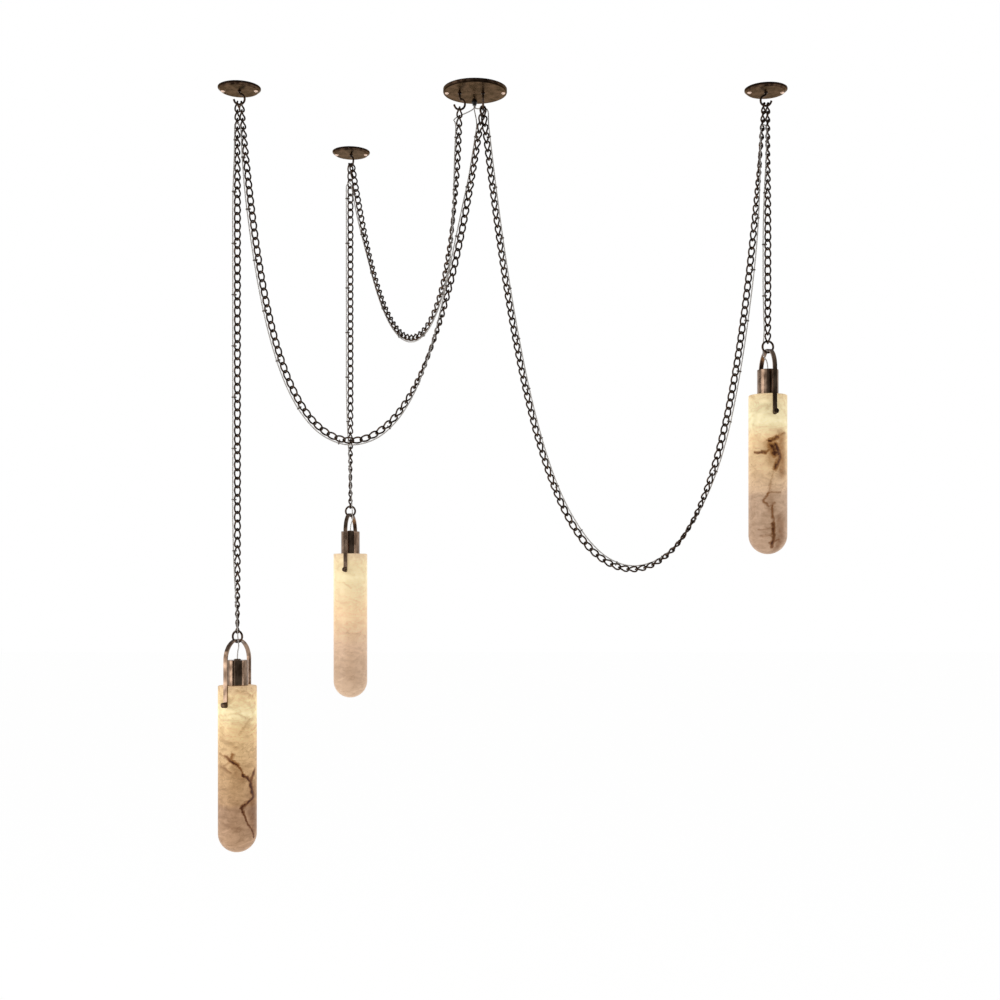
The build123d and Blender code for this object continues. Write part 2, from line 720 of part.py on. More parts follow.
for side in sides:
    chain_end = drop_frame[side][-1].origin + down * link_pitch / 2
    ring_centre = chain_end + up * ((ring_wire + link_gap) / 2 - ring_radius)
    place = Pos(ring_centre) * Rot(0, 0, stirrup_turn[side])
    arm = cord_arm[side]
    cord_start = compass(ring_roll) * arm * cord_offset
    cord_start += up * (drop_frame[side][-2].origin.Z - ring_centre.Z)
    nodes[side + "_hanging_ring"] = [place * ring]
    nodes[side + "_stirrup"] = [place * stirrup()]
    nodes[side + "_thumb_screws"] = [place * Rot(0, 0, turn) * thumb_screw() for turn in (0, 180)]
    nodes[side + "_lamp_cup"] = [place * cup]
    nodes[side + "_cup_nipple"] = [place * nipple]
    nodes[side + "_lampholder"] = [place * holder]
    nodes[side + "_lamp"] = [place * lamp]
    nodes[side + "_alabaster_shade"] = [place * stone(stone_length[side])]
    nodes[side + "_pendant_cord"] = [place * pendant_cord(cord_start, arm)]

os.makedirs("parts", exist_ok=True)
for name, solids in nodes.items():
    pieces = [solid for shape in solids for solid in shape.solids()]
    export_step(Compound(pieces), f"parts/{name}.step")
print(len(nodes), "nodes")
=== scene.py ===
import math

import bpy
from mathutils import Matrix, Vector


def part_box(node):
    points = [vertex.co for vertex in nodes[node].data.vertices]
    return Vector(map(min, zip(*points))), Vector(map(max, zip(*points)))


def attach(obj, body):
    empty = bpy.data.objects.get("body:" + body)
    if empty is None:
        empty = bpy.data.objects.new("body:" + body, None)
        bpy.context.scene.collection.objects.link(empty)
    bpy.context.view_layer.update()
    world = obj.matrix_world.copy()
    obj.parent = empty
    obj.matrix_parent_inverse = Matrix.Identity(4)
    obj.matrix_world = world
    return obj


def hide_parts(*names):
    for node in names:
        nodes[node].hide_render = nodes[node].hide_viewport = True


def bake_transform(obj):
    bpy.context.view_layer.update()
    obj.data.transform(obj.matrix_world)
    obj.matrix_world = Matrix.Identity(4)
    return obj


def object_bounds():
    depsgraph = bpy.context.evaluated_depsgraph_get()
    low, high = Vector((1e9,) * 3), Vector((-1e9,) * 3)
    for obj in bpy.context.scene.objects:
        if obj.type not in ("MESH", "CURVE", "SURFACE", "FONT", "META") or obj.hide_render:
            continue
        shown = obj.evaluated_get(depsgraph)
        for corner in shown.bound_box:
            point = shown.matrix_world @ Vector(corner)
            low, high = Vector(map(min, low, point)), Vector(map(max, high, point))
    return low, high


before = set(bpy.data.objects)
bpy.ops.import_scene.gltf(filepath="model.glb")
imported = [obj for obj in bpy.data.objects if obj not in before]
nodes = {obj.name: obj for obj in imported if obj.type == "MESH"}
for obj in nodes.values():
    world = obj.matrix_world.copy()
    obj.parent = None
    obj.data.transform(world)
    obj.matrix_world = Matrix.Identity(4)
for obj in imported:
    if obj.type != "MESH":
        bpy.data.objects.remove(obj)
cad_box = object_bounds()

# Camera: stands in front of the chandelier, below the height of its middle, and looks level along +Y.
# A lens shift raises the picture, so that upright things stay upright.
camera_place = Vector((0.0468, -2.61, -0.937))
level_turn = math.radians(90)
camera_data = bpy.data.cameras.new("camera")
camera_data.lens = 50
camera_data.sensor_width = 36
camera_data.shift_y = 0.088
camera = bpy.data.objects.new("camera", camera_data)
camera.location = camera_place
camera.rotation_euler = (level_turn, 0, 0)
bpy.context.scene.collection.objects.link(camera)
bpy.context.scene.camera = camera
bpy.context.scene.view_settings.view_transform = "Standard"

# Ceiling plates and canopy: spun bronze, patinated brown and darker in blotches, with painted shade
# along both edges of the wall and the faint rings that the spinning left. Each is screwed to a crossbar
# behind it.
sides = ["left", "middle", "right"]


class Value:
    """A shader socket in a Python expression: arithmetic on it adds Math nodes to its material."""

    def __init__(self, tree, socket=None):
        self.tree = tree
        self.socket = socket

    def node(self, kind, settings=None, sockets=None, output=0):
        """A node's output, after its settings and then its sockets are set or linked."""
        made = self.tree.nodes.new(kind)
        for name, setting in (settings or {}).items():
            if name == "stops":
                ramp = made.color_ramp
                while len(ramp.elements) < len(setting):
                    ramp.elements.new(1)
                for element, (place, colour) in zip(ramp.elements, setting):
                    element.position = place
                    element.color = (*colour, 1)
            else:
                setattr(made, name, setting)
        for name, value in (sockets or {}).items():
            if isinstance(value, Value):
                self.tree.links.new(value.socket, made.inputs[name])
            else:
                made.inputs[name].default_value = value
        return Value(self.tree, made.outputs[output])

    def maths(self, operation, first, second=0.0):
        return self.node("ShaderNodeMath", {"operation": operation}, {0: first, 1: second})

    def __add__(self, other):
        return self.maths("ADD", self, other)

    __radd__ = __add__

    def __sub__(self, other):
        return self.maths("SUBTRACT", self, other)

    def __rsub__(self, other):
        return self.maths("SUBTRACT", other, self)

    def __mul__(self, other):
        return self.maths("MULTIPLY", self, other)

    __rmul__ = __mul__

    def __truediv__(self, other):
        return self.maths("DIVIDE", self, other)

    def __pow__(self, other):
        return self.maths("POWER", self, other)

    def most(self, other):
        return self.maths("MAXIMUM", self, other)

    def step(self, low, high):
        """0 below low and 1 above high, smooth between them."""
        settings = {"interpolation_type": "SMOOTHSTEP"}
        ends = {"Value": self, "From Min": low, "From Max": high}
        return self.node("ShaderNodeMapRange", settings, ends)

    def ramp(self, *stops):
        return self.node("ShaderNodeValToRGB", {"stops": stops}, {"Fac": self})

    def mixed(self, share, under, over, blend="MIX"):
        """Two colours mixed by a share from 0 to 1, through the Mix node's colour sockets."""
        share_in, under_in, over_in, colour_out = 0, 6, 7, 2
        sockets = {share_in: share}
        for index, colour in ((under_in, under), (over_in, over)):
            sockets[index] = colour if isinstance(colour, Value) else (*colour, 1)
        settings = {"data_type": "RGBA", "blend_type": blend}
        return self.node("ShaderNodeMix", settings, sockets, colour_out)

    def tint(self, under, over):
        """Colour under where this is 0 and colour over where it is 1."""
        return self.mixed(self, under, over)


def srgb(red, green, blue):
    """A colour as it shows on screen, from 0 to 255, as light."""
    light = []
    for shown in (red / 255, green / 255, blue / 255):
        light.append(shown / 12.92 if shown <= 0.04045 else ((shown + 0.055) / 1.055) ** 2.4)
    return tuple(light)


def new_finish(name):
    """An empty material with its main shader, and a Value to start expressions from."""
    material = bpy.data.materials.new(name)
    material.use_nodes = True
    tree = material.node_tree
    return material, tree.nodes["Principled BSDF"], Value(tree)


def feed(shader, **sockets):
    """Sets or links the shader's sockets, with an underscore for each space in their names."""
    for name, value in sockets.items():
        socket = shader.inputs[name.replace("_", " ")]
        if isinstance(value, Value):
            value.tree.links.new(value.socket, socket)
        else:
            socket.default_value = (*value, 1) if isinstance(value, tuple) else value


def place_of(start, centre=(0, 0, 0)):
    """Position on the chandelier, in metres from a centre."""
    place = start.node("ShaderNodeTexCoord", output="Object")
    return place.node("ShaderNodeVectorMath", {"operation": "SUBTRACT"}, {0: place, 1: centre})


def parts_of(vector):
    """A vector's X, Y and Z, as three Values."""
    return [vector.node("ShaderNodeSeparateXYZ", {}, {0: vector}, axis) for axis in "XYZ"]


def noise(place, scale, detail=4.0, roughness=0.55, distortion=0.0):
    sockets = {"Vector": place, "Scale": scale, "Detail": detail, "Roughness": roughness}
    sockets["Distortion"] = distortion
    return place.node("ShaderNodeTexNoise", {}, sockets)


def bump(height, strength, distance):
    sockets = {"Height": height, "Strength": strength, "Distance": distance}
    return height.node("ShaderNodeBump", {}, sockets)


def dress(node_names, material):
    for name in node_names:
        mesh = nodes[name].data
        mesh.materials.clear()
        mesh.materials.append(material)


plate_dark = srgb(30, 19, 12)
plate_warm = srgb(98, 77, 61)
plate_edge_shade_colour = srgb(24, 15, 9)
plate_glint = srgb(222, 208, 194)
ring_stretch = 60
rim_shade_start = 0.94
rim_shade_full = 0.975
top_shade_start = 0.0016
top_shade_full = 0.0006
canopy_shade_height = 0.0026
plate_shade_height = 0.012


def plate_finish(name, shade_height):
    """Spun bronze about one plate's own centre, with painted shade at the rim up to a height above its
    face and at the top of its wall.
    """
    low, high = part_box(name)
    centre = (low + high) / 2
    rim = (high.x - low.x) / 2
    half_wall = (high.z - low.z) / 2
    material, shader, start = new_finish(name + "_bronze")
    place = place_of(start, centre)
    x, y, z = parts_of(place)
    radius = (x * x + y * y) ** 0.5
    outward = radius.node("ShaderNodeCombineXYZ", {}, {"X": radius * ring_stretch})
    rings = noise(outward, scale=12.0, detail=2.0)
    patches = noise(place, scale=70.0, detail=6.0, roughness=0.65)
    # Painted shade: the lower band of the wall at the rim, and the top of the wall against the ceiling,
    # go near black.
    under = 1 - z.step(shade_height / 2 - half_wall, shade_height - half_wall)
    rim_painted_shade = (radius / rim).step(rim_shade_start, rim_shade_full) * under
    top_painted_shade = z.step(half_wall - top_shade_start, half_wall - top_shade_full)
    painted_edge_shade = rim_painted_shade.most(top_painted_shade)
    tone = (patches * 0.8 + rings * 0.2).step(0.38, 0.62)
    colour = (painted_edge_shade * 0.9).tint(tone.tint(plate_dark, plate_warm), plate_edge_shade_colour)
    feed(shader, Base_Color=colour, Metallic=1.0, Specular_Tint=plate_glint)
    feed(shader, Roughness=0.2 + 0.16 * patches)
    feed(shader, Normal=bump(rings, strength=0.12, distance=0.0004))
    return material


dress(["canopy_plate"], plate_finish("canopy_plate", canopy_shade_height))
for side in sides:
    dress([side + "_ceiling_plate"], plate_finish(side + "_ceiling_plate", plate_shade_height))

# Crossbars and nuts: flat steel bars let into the backs of the plates and bolted to the ceiling, and
# the nuts on the hooks' stems. They are zinc-plated, with the plating's faint grey crystals.
zinc_grey = srgb(165, 168, 170)
zinc_pale = srgb(205, 207, 208)
zinc, shader, start = new_finish("zinc_plate")
place = place_of(start)
crystals = place.node("ShaderNodeTexVoronoi", {}, {"Vector": place, "Scale": 420.0})
feed(shader, Base_Color=crystals.ramp((0, zinc_grey), (1, zinc_pale)))
feed(shader, Metallic=1.0, Roughness=0.3 + 0.2 * noise(place, scale=90.0))
dress(["canopy_crossbar", "plate_crossbars", "hook_nuts"], zinc)

# Cover screws: two domed screws to a plate, of copper polished bright. They go up through the plate and
# are threaded into the ends of its crossbar.
screw_copper = srgb(226, 190, 166)
screw_bright = srgb(246, 222, 204)
polished, shader, start = new_finish("polished_copper")
rub = noise(place_of(start), scale=700.0)
feed(shader, Base_Color=rub.tint(screw_copper, screw_bright), Metallic=1.0)
feed(shader, Roughness=0.16 + 0.14 * rub)
dress(["cover_screws"], polished)

# Hooks, chain and rings: bronze wire, bent to shape and blackened, and worn back to brown where links
# rub. The hooks' stems go through the plates to their nuts, and the chains and rings hang from them.
chain_black = srgb(44, 34, 27)
chain_brown = srgb(104, 82, 66)
chain_bronze, shader, start = new_finish("chain_bronze")
place = place_of(start)
cloud = noise(place, scale=170.0, detail=5.0)
speck = noise(place, scale=900.0, detail=3.0)
worn = (cloud * 0.75 + speck * 0.25).step(0.38, 0.68)
feed(shader, Base_Color=worn.tint(chain_black, chain_brown), Metallic=1.0)
feed(shader, Roughness=0.3 + 0.2 * speck)
feed(shader, Normal=bump(speck, strength=0.15, distance=0.0003))
wire_kinds = ("_swag_chain", "_hook_link", "_drop_chain", "_hanging_ring")
dress(["ceiling_hooks"], chain_bronze)
dress([side + kind for side in sides for kind in wire_kinds], chain_bronze)

# Gland and terminal block: a tapered sleeve of black plastic, snapped into the canopy, that the cords
# leave by, and a connector of white plastic inside the canopy, where they meet the supply.
for name, dark, pale in (
    ("cord_gland", srgb(14, 13, 12), srgb(30, 28, 26)),
    ("terminal_block", srgb(214, 213, 208), srgb(232, 231, 226)),
):
    moulded, shader, start = new_finish(name + "_plastic")
    grain = noise(place_of(start), scale=1600.0, detail=2.0)
    feed(shader, Base_Color=grain.tint(dark, pale), Roughness=0.42 + 0.15 * grain)
    feed(shader, Normal=bump(grain, strength=0.2, distance=0.0001))
    dress([name], moulded)

# Cords: one thin cord a pendant, a clear sheath over two bright tinned strands. It leaves the gland, is
# tied along the swag, loops over to the pendant's own chain and goes down into the cup.
tail_points = {
    "left": (
        (-0.0027, 0.0448, -0.0038), (-0.0027, 0.0448, -0.0140), (-0.0027, 0.0448, -0.0220),
        (0.0040, 0.0018, -0.0631), (0.0025, 0.0018, -0.0730),
    ),
    "middle": (
        (-0.0027, 0.0472, -0.0038), (-0.0027, 0.0472, -0.0140), (-0.0027, 0.0472, -0.0220),
        (-0.0430, 0.0040, -0.0540), (-0.0357, -0.0051, -0.0653), (-0.0361, -0.0045, -0.0753),
    ),
    "right": (
        (-0.0006, 0.0460, -0.0038), (-0.0006, 0.0460, -0.0140), (-0.0006, 0.0460, -0.0220),
        (0.0250, 0.0140, -0.0280), (0.0250, -0.0018, -0.0635), (0.0261, -0.0018, -0.0734),
    ),
}
swag_points = {
    "left": (
        (0.0025, 0.0018, -0.0730), (-0.0049, 0.0017, -0.1203), (-0.0126, 0.0019, -0.1677),
        (-0.0228, -0.0010, -0.2145), (-0.0324, -0.0040, -0.2614), (-0.0418, -0.0071, -0.3083),
        (-0.0511, -0.0099, -0.3552), (-0.0608, -0.0120, -0.4021), (-0.0715, -0.0133, -0.4488),
        (-0.0840, -0.0137, -0.4953), (-0.0994, -0.0130, -0.5410), (-0.1194, -0.0115, -0.5854),
        (-0.1467, -0.0093, -0.6268), (-0.1857, -0.0065, -0.6606), (-0.2384, -0.0060, -0.6726),
        (-0.2883, -0.0066, -0.6528), (-0.3235, -0.0069, -0.6154), (-0.3483, -0.0071, -0.5723),
        (-0.3669, -0.0073, -0.5270), (-0.3815, -0.0074, -0.4806), (-0.3934, -0.0075, -0.4337),
        (-0.4033, -0.0076, -0.3864), (-0.4118, -0.0077, -0.3389), (-0.4191, -0.0078, -0.2913),
        (-0.4256, -0.0075, -0.2436), (-0.4308, -0.0109, -0.1957), (-0.4344, -0.0135, -0.1478),
        (-0.4367, -0.0156, -0.0957), (-0.4370, -0.0159, -0.0837),
    ),
    "middle": (
        (-0.0361, -0.0045, -0.0753), (-0.0385, -0.0010, -0.1232), (-0.0399, 0.0025, -0.1712),
        (-0.0410, 0.0078, -0.2192), (-0.0435, 0.0163, -0.2670), (-0.0477, 0.0290, -0.3140),
        (-0.0579, 0.0445, -0.3596), (-0.0723, 0.0666, -0.4023), (-0.0933, 0.0988, -0.4369),
        (-0.1212, 0.1418, -0.4516), (-0.1492, 0.1848, -0.4395), (-0.1720, 0.2198, -0.4104),
        (-0.1904, 0.2480, -0.3739), (-0.2057, 0.2715, -0.3337), (-0.2189, 0.2918, -0.2915),
        (-0.2304, 0.3100, -0.2481), (-0.2428, 0.3251, -0.2038), (-0.2545, 0.3377, -0.1586),
        (-0.2648, 0.3493, -0.1108), (-0.2700, 0.3558, -0.0819),
    ),
    "right": (
        (0.0261, -0.0018, -0.0734), (0.0316, -0.0019, -0.1211), (0.0374, -0.0019, -0.1687),
        (0.0435, -0.0020, -0.2162), (0.0499, -0.0020, -0.2638), (0.0567, -0.0021, -0.3112),
        (0.0639, -0.0021, -0.3586), (0.0715, -0.0022, -0.4059), (0.0798, -0.0022, -0.4531),
        (0.0887, -0.0023, -0.5002), (0.0983, -0.0024, -0.5471), (0.1090, -0.0025, -0.5937),
        (0.1208, -0.0025, -0.6400), (0.1342, -0.0026, -0.6859), (0.1495, -0.0029, -0.7310),
        (0.1681, -0.0023, -0.7748), (0.1911, 0.0004, -0.8160), (0.2184, 0.0033, -0.8537),
        (0.2526, 0.0059, -0.8840), (0.2951, 0.0081, -0.8981), (0.3399, 0.0095, -0.8880),
        (0.3777, 0.0101, -0.8588), (0.4073, 0.0097, -0.8205), (0.4308, 0.0084, -0.7780),
        (0.4497, 0.0062, -0.7333), (0.4649, 0.0034, -0.6873), (0.4770, 0.0001, -0.6405),
        (0.4871, 0.0004, -0.5932), (0.4959, 0.0003, -0.5459), (0.5038, 0.0003, -0.4983),
        (0.5108, 0.0002, -0.4507), (0.5171, 0.0003, -0.4030), (0.5229, -0.0003, -0.3553),
        (0.5274, -0.0035, -0.3074), (0.5306, -0.0061, -0.2594), (0.5326, -0.0079, -0.2113),
        (0.5338, -0.0088, -0.1632), (0.5347, -0.0086, -0.1132), (0.5352, -0.0079, -0.0831),
    ),
}
drop_points = {
    "left": (
        (-0.4370, -0.0159, -0.0837), (-0.4378, -0.0161, -0.0697), (-0.4487, -0.0161, -0.0695),
        (-0.4487, -0.0161, -0.0835), (-0.4494, -0.0158, -0.1315), (-0.4520, -0.0138, -0.1795),
        (-0.4535, -0.0111, -0.2275), (-0.4540, -0.0078, -0.2755), (-0.4539, -0.0081, -0.3235),
        (-0.4539, -0.0081, -0.3715), (-0.4539, -0.0081, -0.4195), (-0.4539, -0.0081, -0.4675),
        (-0.4539, -0.0081, -0.5155), (-0.4539, -0.0081, -0.5635), (-0.4539, -0.0081, -0.6115),
        (-0.4539, -0.0081, -0.6595), (-0.4539, -0.0081, -0.7075), (-0.4540, -0.0077, -0.7555),
        (-0.4536, -0.0108, -0.8035), (-0.4522, -0.0135, -0.8515), (-0.4500, -0.0155, -0.8995),
        (-0.4472, -0.0167, -0.9475), (-0.4442, -0.0168, -0.9955),
    ),
    "middle": (
        (-0.2700, 0.3558, -0.0819), (-0.2725, 0.3592, -0.0685), (-0.2837, 0.3766, -0.0695),
        (-0.2837, 0.3766, -0.0835), (-0.2838, 0.3777, -0.1315), (-0.2838, 0.3781, -0.1795),
        (-0.2838, 0.3780, -0.2275), (-0.2838, 0.3780, -0.2755), (-0.2838, 0.3780, -0.3235),
        (-0.2838, 0.3780, -0.3715), (-0.2838, 0.3780, -0.4195), (-0.2838, 0.3784, -0.4675),
        (-0.2834, 0.3751, -0.5155), (-0.2819, 0.3725, -0.5635), (-0.2797, 0.3704, -0.6115),
        (-0.2769, 0.3693, -0.6595), (-0.2738, 0.3692, -0.7095), (-0.2720, 0.3697, -0.7395),
    ),
    "right": (
        (0.5352, -0.0079, -0.0831), (0.5358, -0.0078, -0.0691), (0.5463, -0.0080, -0.0695),
        (0.5463, -0.0080, -0.0835), (0.5456, -0.0077, -0.1315), (0.5431, -0.0056, -0.1795),
        (0.5417, -0.0029, -0.2275), (0.5412, 0.0004, -0.2755), (0.5412, -0.0003, -0.3235),
        (0.5416, 0.0028, -0.3715), (0.5432, 0.0056, -0.4215), (0.5446, 0.0068, -0.4515),
    ),
}
pendant_points = {
    "left": (
        (-0.4442, -0.0168, -0.9955), (-0.4425, -0.0189, -1.0322), (-0.4407, -0.0148, -1.0458),
        (-0.4451, -0.0081, -1.0565), (-0.4451, -0.0081, -1.0745),
    ),
    "middle": (
        (-0.2720, 0.3697, -0.7395), (-0.2698, 0.3682, -0.7762), (-0.2690, 0.3725, -0.7898),
        (-0.2750, 0.3780, -0.8005), (-0.2750, 0.3780, -0.8185),
    ),
    "right": (
        (0.5446, 0.0068, -0.4515), (0.5420, 0.0076, -0.4882), (0.5427, 0.0033, -0.5018),
        (0.5501, 0.0000, -0.5125), (0.5501, 0.0000, -0.5305),
    ),
}
loop_last = 3
cord_dia = 0.0022
strand_grey = srgb(212, 204, 196)
strand_bright = srgb(240, 235, 229)
cord_clear, shader, start = new_finish("clear_sheath")
strand = noise(place_of(start), scale=260.0, detail=2.0).step(0.4, 0.6)
feed(shader, Base_Color=strand.tint(strand_grey, strand_bright), Roughness=0.2 + 0.1 * strand)
feed(shader, Transmission_Weight=0.55, IOR=1.45, Coat_Weight=0.4, Coat_Roughness=0.15)


def smooth_line(points):
    """Points along the smooth curve that a cord's points give."""
    curve = bpy.data.curves.new("route", "CURVE")
    curve.dimensions = "3D"
    spline = curve.splines.new("NURBS")
    spline.points.add(len(points) - 1)
    for control, point in zip(spline.points, points):
        control.co = (*point, 1)
    spline.order_u = 3
    spline.use_endpoint_u = True
    route = bpy.data.objects.new("route", curve)
    bpy.context.scene.collection.objects.link(route)
    bpy.context.view_layer.update()
    mesh = bpy.data.meshes.new_from_object(route)
    line = [vertex.co.copy() for vertex in mesh.vertices]
    bpy.data.objects.remove(route)
    bpy.data.curves.remove(curve)
    bpy.data.meshes.remove(mesh)
    return line


def length_of(line):
    return sum((after - before).length for before, after in zip(line, line[1:]))


def cord_tube(name, line, node):
    """A round tube along a line, in place of the node's solid."""
    sides_round = 10
    ways = [(after - before).normalized() for before, after in zip(line, line[1:])]
    ways.append(ways[-1])
    across = ways[0].orthogonal().normalized()
    corners = []
    for point, way in zip(line, ways):
        across = (across - way * across.dot(way)).normalized()
        beside = way.cross(across)
        for step in range(sides_round):
            turn = math.tau * step / sides_round
            corners.append(point + (across * math.cos(turn) + beside * math.sin(turn)) * cord_dia / 2)
    faces = []
    for ring in range(len(line) - 1):
        for step in range(sides_round):
            after = (step + 1) % sides_round
            low = ring * sides_round
            high = low + sides_round
            faces.append((low + step, low + after, high + after, high + step))
    faces.append(tuple(reversed(range(sides_round))))
    faces.append(tuple(range(len(corners) - sides_round, len(corners))))
    mesh = bpy.data.meshes.new(name)
    mesh.from_pydata(corners, [], faces)
    mesh.shade_smooth()
    mesh.materials.append(cord_clear)
    tube = bpy.data.objects.new(name, mesh)
    bpy.context.scene.collection.objects.link(tube)
    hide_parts(node)
    return tube


def declare(line):
    length_of(line)


def across_joints(name, line, node, bodies):
    """A cord in one piece for each joint that it crosses, each a fixed tube along its share of the
    line; the bodies give only the count.
    """
    made = []
    count = len(bodies) - 1
    for index in range(count):
        first = index * (len(line) - 1) // count
        last = (index + 1) * (len(line) - 1) // count
        run = line[first : last + 1]
        tube = cord_tube(f"{name}_{index}", run, node)
        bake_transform(tube)
        made.append((tube, run))
    return made


for side in sides:
    tail = smooth_line(tail_points[side])
    tail_bodies = ["ceiling", side + "_swag"]
    for tube, run in across_joints(side + "_tail", tail, "canopy_cord_tails", tail_bodies):
        declare(run)
    swag = smooth_line(swag_points[side])
    tube = cord_tube(side + "_swag_run", swag, side + "_swag_cord")
    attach(tube, side + "_swag")
    declare(swag)
    drop = smooth_line(drop_points[side])
    loop_end = Vector(drop_points[side][loop_last])
    settled = min(range(len(drop)), key=lambda index: (drop[index] - loop_end).length)
    loop_bodies = [side + "_swag", "ceiling", side + "_hook_link", side + "_drop"]
    loop = across_joints(side + "_loop", drop[: settled + 1], side + "_drop_cord", loop_bodies)
    tube = cord_tube(side + "_drop_run", drop[settled:], side + "_drop_cord")
    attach(tube, side + "_drop")
    declare(drop[settled:])
    lead = smooth_line(pendant_points[side])
    lead_bodies = [side + "_drop", side + "_ring", side + "_pendant"]
    for tube, run in across_joints(side + "_lead", lead, side + "_pendant_cord", lead_bodies):
        declare(run)

# Ties: small bands of brown plastic, at every sixth link. Each is closed round one side of the link and
# the cord beside it.
tie_dark = srgb(96, 84, 74)
tie_pale = srgb(128, 114, 102)
tie_brown, shader, start = new_finish("tie_brown")
grain = noise(place_of(start), scale=1100.0, detail=2.0)
feed(shader, Base_Color=grain.tint(tie_dark, tie_pale), Roughness=0.4 + 0.15 * grain)
dress([side + kind for side in sides for kind in ("_swag_ties", "_drop_ties")], tie_brown)

# Pendant metal: the stirrup's strap, the lamp cup and its nipple are satin bronze, brushed along their
# length, with copper showing through. The thumb screws are blackened as the chain is.
pendant_dark = srgb(92, 73, 59)
pendant_copper = srgb(170, 143, 122)
brush_squeeze = (1, 1, 0.05)


def top_centre_of(name):
    low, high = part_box(name)
    return Vector(((low.x + high.x) / 2, (low.y + high.y) / 2, high.z))


def satin_bronze(side):
    """Bronze brushed up and down, about one cup's own centre."""
    material, shader, start = new_finish(side + "_satin_bronze")
    place = place_of(start, top_centre_of(side + "_lamp_cup"))
    squeeze = {"operation": "MULTIPLY"}
    lengthwise = place.node("ShaderNodeVectorMath", squeeze, {0: place, 1: brush_squeeze})
    brushed = noise(lengthwise, scale=900.0, detail=3.0)
    cloud = noise(place, scale=45.0)
    tone = (brushed * 0.3 + cloud * 0.7).step(0.36, 0.66)
    feed(shader, Base_Color=tone.tint(pendant_dark, pendant_copper), Metallic=1.0)
    feed(shader, Roughness=0.1 + 0.1 * brushed)
    feed(shader, Normal=bump(brushed, strength=0.04, distance=0.0002))
    return material


for side in sides:
    dress([side + kind for kind in ("_stirrup", "_lamp_cup", "_cup_nipple")], satin_bronze(side))
    dress([side + "_thumb_screws"], chain_bronze)

# Lampholder and lamp: a holder of glazed ceramic on the nipple inside the cup, and in it a tube lamp of
# opal glass that reaches down the stone's bore and lights it.
glaze_cream = srgb(222, 219, 210)
glaze_white = srgb(240, 238, 232)
glaze, shader, start = new_finish("holder_glaze")
cloud = noise(place_of(start), scale=200.0)
feed(shader, Base_Color=cloud.tint(glaze_cream, glaze_white), Roughness=0.25 + 0.1 * cloud)
dress([side + "_lampholder" for side in sides], glaze)
opal_cream = srgb(250, 240, 220)
opal_white = srgb(255, 248, 236)
opal_light = srgb(255, 226, 170)
opal, shader, start = new_finish("opal_lamp")
cloud = noise(place_of(start), scale=30.0)
feed(shader, Base_Color=cloud.tint(opal_cream, opal_white), Roughness=0.3 + 0.05 * cloud)
feed(shader, Emission_Color=opal_light, Emission_Strength=1.0)
dress([side + "_lamp" for side in sides], opal)

# Alabaster: one turned and polished stone a pendant, lit from its bore. Its glow is painted into its
# colour
# and given out as emission: cream beside the lamp, dimming to pinkish tan in its solid foot, partly the
# stone's own tone and partly painted light. Brown veins cross it.
# The tones, painted glow included, go from the stone's top, 0, to its foot, 1.
stone_glow_tones = {
    "left": (
        (0.0, srgb(228, 194, 152)),
        (0.06, srgb(250, 219, 168)),
        (0.165, srgb(250, 231, 182)),
        (0.25, srgb(236, 202, 150)),
        (0.38, srgb(222, 186, 138)),
        (0.5, srgb(200, 162, 118)),
        (0.7, srgb(184, 146, 108)),
        (0.735, srgb(172, 136, 106)),
        (1.0, srgb(186, 150, 118)),
    ),
    "middle": (
        (0.0, srgb(236, 208, 172)),
        (0.06, srgb(253, 230, 184)),
        (0.17, srgb(253, 234, 188)),
        (0.4, srgb(250, 216, 172)),
        (0.5, srgb(240, 206, 166)),
        (0.64, srgb(222, 188, 158)),
        (0.82, srgb(202, 170, 142)),
        (1.0, srgb(216, 185, 156)),
    ),
    "right": (
        (0.0, srgb(242, 214, 168)),
        (0.06, srgb(250, 232, 186)),
        (0.18, srgb(251, 236, 190)),
        (0.27, srgb(244, 210, 160)),
        (0.45, srgb(226, 192, 148)),
        (0.6, srgb(218, 184, 150)),
        (0.63, srgb(194, 162, 134)),
        (1.0, srgb(186, 154, 128)),
    ),
}
